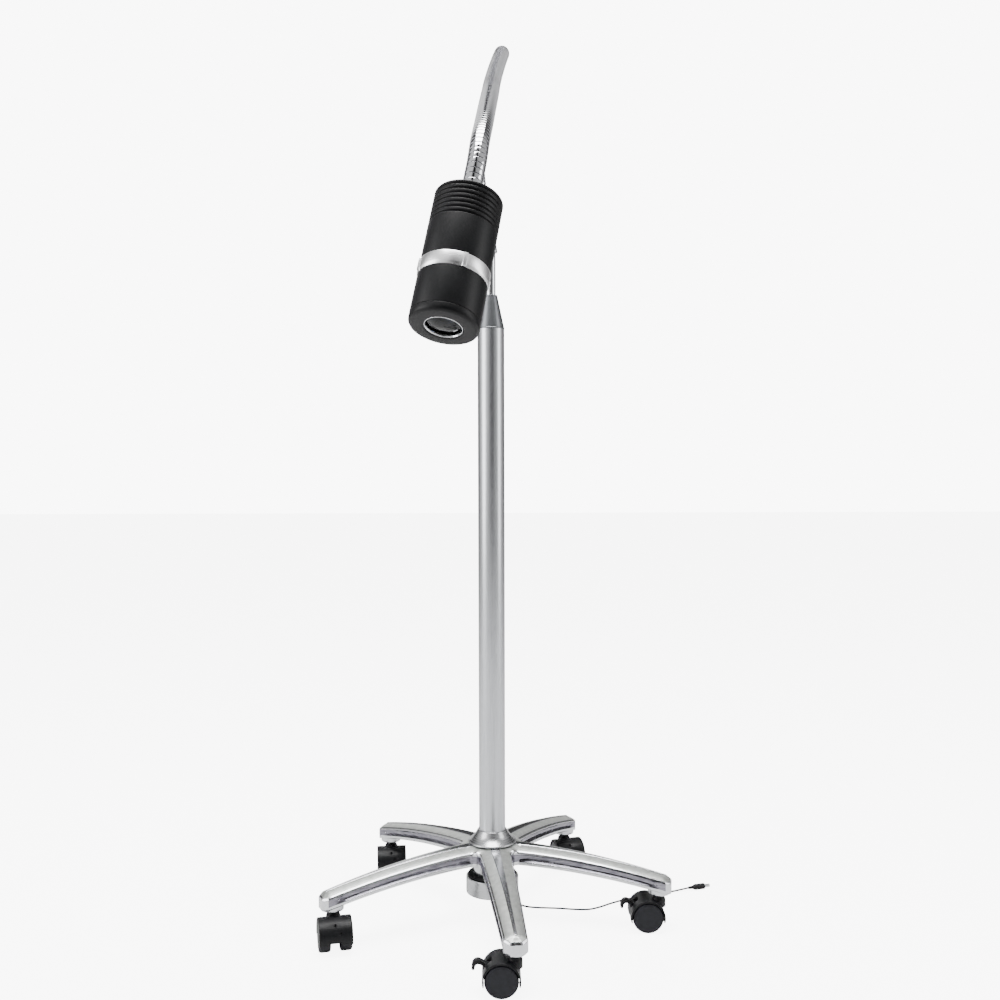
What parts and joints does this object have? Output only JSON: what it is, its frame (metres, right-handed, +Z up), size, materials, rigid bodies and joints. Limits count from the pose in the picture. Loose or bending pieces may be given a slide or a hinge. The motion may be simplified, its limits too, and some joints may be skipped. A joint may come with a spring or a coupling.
{
  "type": "examination lamp",
  "caption": "Mobile examination lamp: LED spot head with focus ring on a chrome gooseneck, on a pole with a star castor base and counterweight.",
  "frame": {"origin": "on the floor, under the pole's axis", "axes": "+Z up along the pole; the head reaches out to -Y; the front leg points to -Y, turned 6.6 degrees towards +X"},
  "size_m": [0.6389, 1.0162, 1.2925],
  "materials": {
    "base_casting": "die-cast, polished and brushed",
    "plated_weight": "bright plated steel",
    "satin_tube": "satin anodised",
    "grey_cone": "grey anodised, turned",
    "chrome_plate": "bright",
    "plain_steel": "machined",
    "black_anodised": "black anodised, bead blasted",
    "turned_aluminium": "turned and clear anodised",
    "charcoal_nylon": "moulded nylon",
    "lens_glass": "clear, coated",
    "circuit_board": "solder mask",
    "led_phosphor": "phosphor under a clear dome",
    "black_pvc": "flexible PVC"
  },
  "bodies": {
    "base": {"base_star": "base_casting", "counterweight": "plated_weight", "weight_pad": "black_pvc", "tie_bolt": "plain_steel", "pole_flange": "base_casting", "pole_tube": "satin_tube", "pole_foot_plug": "plain_steel", "pole_top_cone": "grey_cone", "neck_rod": "chrome_plate", "cord_gland": "black_pvc", "cord_to_coil": "black_pvc", "cord_coil": "black_pvc", "cord_to_plug": "black_pvc", "dc_plug": "black_pvc", "castor_1_stem": "plain_steel", "castor_2_stem": "plain_steel", "castor_3_stem": "plain_steel", "castor_4_stem": "plain_steel", "castor_5_stem": "plain_steel"},
    "castor_1_fork": {"castor_1_hood": "charcoal_nylon", "castor_1_axle": "plain_steel"},
    "castor_1_left": {"castor_1_wheel_left": "charcoal_nylon"},
    "castor_1_right": {"castor_1_wheel_right": "charcoal_nylon"},
    "castor_1_brake": {"castor_1_brake_lever": "charcoal_nylon"},
    "castor_2_fork": {"castor_2_hood": "charcoal_nylon", "castor_2_axle": "plain_steel"},
    "castor_2_left": {"castor_2_wheel_left": "charcoal_nylon"},
    "castor_2_right": {"castor_2_wheel_right": "charcoal_nylon"},
    "castor_2_brake": {"castor_2_brake_lever": "charcoal_nylon"},
    "castor_3_fork": {"castor_3_hood": "charcoal_nylon", "castor_3_axle": "plain_steel"},
    "castor_3_left": {"castor_3_wheel_left": "charcoal_nylon"},
    "castor_3_right": {"castor_3_wheel_right": "charcoal_nylon"},
    "castor_4_fork": {"castor_4_hood": "charcoal_nylon", "castor_4_axle": "plain_steel"},
    "castor_4_left": {"castor_4_wheel_left": "charcoal_nylon"},
    "castor_4_right": {"castor_4_wheel_right": "charcoal_nylon"},
    "castor_5_fork": {"castor_5_hood": "charcoal_nylon", "castor_5_axle": "plain_steel"},
    "castor_5_left": {"castor_5_wheel_left": "charcoal_nylon"},
    "castor_5_right": {"castor_5_wheel_right": "charcoal_nylon"},
    "neck_1": {"neck_section_1": "chrome_plate"},
    "neck_2": {"neck_section_2": "chrome_plate"},
    "neck_3": {"neck_section_3": "chrome_plate"},
    "neck_4": {"neck_section_4": "chrome_plate"},
    "neck_5": {"neck_section_5": "chrome_plate"},
    "head": {"head_ferrule": "chrome_plate", "head_housing": "black_anodised", "driver_board": "circuit_board", "led_heatsink": "turned_aluminium", "led_board": "circuit_board", "led_emitter": "led_phosphor", "front_barrel": "black_anodised", "front_bezel": "black_anodised", "front_lens": "lens_glass", "lens_ring": "chrome_plate"},
    "focus": {"focus_ring": "turned_aluminium"},
    "condenser": {"condenser_carrier": "black_anodised", "condenser_lens": "lens_glass"},
    "button": {"power_button": "turned_aluminium"}
  },
  "joints": [
    {"name": "castor_1_swivel", "type": "hinge", "parent": "base", "child": "castor_1_fork", "pos_m": [0.03046, -0.26324, 0.05], "axis": [0, 0, 1], "continuous": true},
    {"name": "castor_1_left_roll", "type": "hinge", "parent": "castor_1_fork", "child": "castor_1_left", "pos_m": [0.01196, -0.26324, 0.024], "axis": [0, -1, 0], "continuous": true},
    {"name": "castor_1_right_roll", "type": "hinge", "parent": "castor_1_fork", "child": "castor_1_right", "pos_m": [0.01196, -0.26324, 0.024], "axis": [0, -1, 0], "continuous": true},
    {"name": "castor_1_brake_press", "type": "hinge", "parent": "castor_1_fork", "child": "castor_1_brake", "pos_m": [-0.00656, -0.26324, 0.03847], "axis": [0, -1, 0], "range_deg": [0, 12]},
    {"name": "castor_2_swivel", "type": "hinge", "parent": "base", "child": "castor_2_fork", "pos_m": [0.25977, -0.05238, 0.05], "axis": [0, 0, 1], "continuous": true},
    {"name": "castor_2_left_roll", "type": "hinge", "parent": "castor_2_fork", "child": "castor_2_left", "pos_m": [0.24127, -0.05238, 0.024], "axis": [0, -1, 0], "continuous": true},
    {"name": "castor_2_right_roll", "type": "hinge", "parent": "castor_2_fork", "child": "castor_2_right", "pos_m": [0.24127, -0.05238, 0.024], "axis": [0, -1, 0], "continuous": true},
    {"name": "castor_2_brake_press", "type": "hinge", "parent": "castor_2_fork", "child": "castor_2_brake", "pos_m": [0.22275, -0.05238, 0.03847], "axis": [0, -1, 0], "range_deg": [0, 12]},
    {"name": "castor_3_swivel", "type": "hinge", "parent": "base", "child": "castor_3_fork", "pos_m": [0.13009, 0.23087, 0.05], "axis": [0, 0, 1], "continuous": true},
    {"name": "castor_3_left_roll", "type": "hinge", "parent": "castor_3_fork", "child": "castor_3_left", "pos_m": [0.13519, 0.21309, 0.024], "axis": [0.9613, 0.2756, 0], "continuous": true},
    {"name": "castor_3_right_roll", "type": "hinge", "parent": "castor_3_fork", "child": "castor_3_right", "pos_m": [0.13519, 0.21309, 0.024], "axis": [0.9613, 0.2756, 0], "continuous": true},
    {"name": "castor_4_swivel", "type": "hinge", "parent": "base", "child": "castor_4_fork", "pos_m": [-0.17937, 0.19507, 0.05], "axis": [0, 0, 1], "continuous": true},
    {"name": "castor_4_left_roll", "type": "hinge", "parent": "castor_4_fork", "child": "castor_4_left", "pos_m": [-0.17744, 0.17667, 0.024], "axis": [0.9945, 0.1045, 0], "continuous": true},
    {"name": "castor_4_right_roll", "type": "hinge", "parent": "castor_4_fork", "child": "castor_4_right", "pos_m": [-0.17744, 0.17667, 0.024], "axis": [0.9945, 0.1045, 0], "continuous": true},
    {"name": "castor_5_swivel", "type": "hinge", "parent": "base", "child": "castor_5_fork", "pos_m": [-0.24095, -0.11031, 0.05], "axis": [0, 0, 1], "continuous": true},
    {"name": "castor_5_left_roll", "type": "hinge", "parent": "castor_5_fork", "child": "castor_5_left", "pos_m": [-0.23647, -0.12826, 0.024], "axis": [0.9703, 0.2419, 0], "continuous": true},
    {"name": "castor_5_right_roll", "type": "hinge", "parent": "castor_5_fork", "child": "castor_5_right", "pos_m": [-0.23647, -0.12826, 0.024], "axis": [0.9703, 0.2419, 0], "continuous": true},
    {"name": "neck_bend_1", "type": "hinge", "parent": "base", "child": "neck_1", "pos_m": [0, 0, 1.0599], "axis": [1, 0, 0], "range_deg": [-12, 20]},
    {"name": "neck_side_1", "type": "hinge", "parent": "neck_1", "child": "neck_2", "pos_m": [-0.01356, -0.06191, 1.22216], "axis": [0, 0.7485, 0.6631], "range_deg": [-20, 20]},
    {"name": "neck_bend_2", "type": "hinge", "parent": "neck_2", "child": "neck_3", "pos_m": [0.01353, -0.22007, 1.28008], "axis": [1, 0, 0], "range_deg": [-20, 20]},
    {"name": "neck_side_2", "type": "hinge", "parent": "neck_3", "child": "neck_4", "pos_m": [0.00692, -0.38282, 1.21064], "axis": [0, -0.4942, 0.8694], "range_deg": [-20, 20]},
    {"name": "neck_bend_3", "type": "hinge", "parent": "neck_4", "child": "neck_5", "pos_m": [-0.00233, -0.53928, 1.12589], "axis": [1, 0, 0], "range_deg": [-20, 20]},
    {"name": "head_tilt", "type": "hinge", "parent": "neck_5", "child": "head", "pos_m": [-0.0182, -0.66618, 1.00811], "axis": [1, 0, 0], "range_deg": [-20, 20]},
    {"name": "focus_turn", "type": "hinge", "parent": "head", "child": "focus", "pos_m": [-0.0357, -0.70764, 0.91214], "axis": [-0.1651, -0.3912, -0.9054], "range_deg": [0, 150]},
    {"name": "condenser_slide", "type": "slide", "parent": "head", "child": "condenser", "axis": [-0.1651, -0.3912, -0.9054], "range_m": [0, 0.006]},
    {"name": "button_press", "type": "slide", "parent": "head", "child": "button", "axis": [-0.1651, -0.3912, -0.9054], "range_m": [0, 0.0012], "stiffness_N_per_m": 1500}
  ],
  "couplings": [
    {"joint": "condenser_slide", "follows": "focus_turn", "m_per_rad": 0.00229}
  ]
}
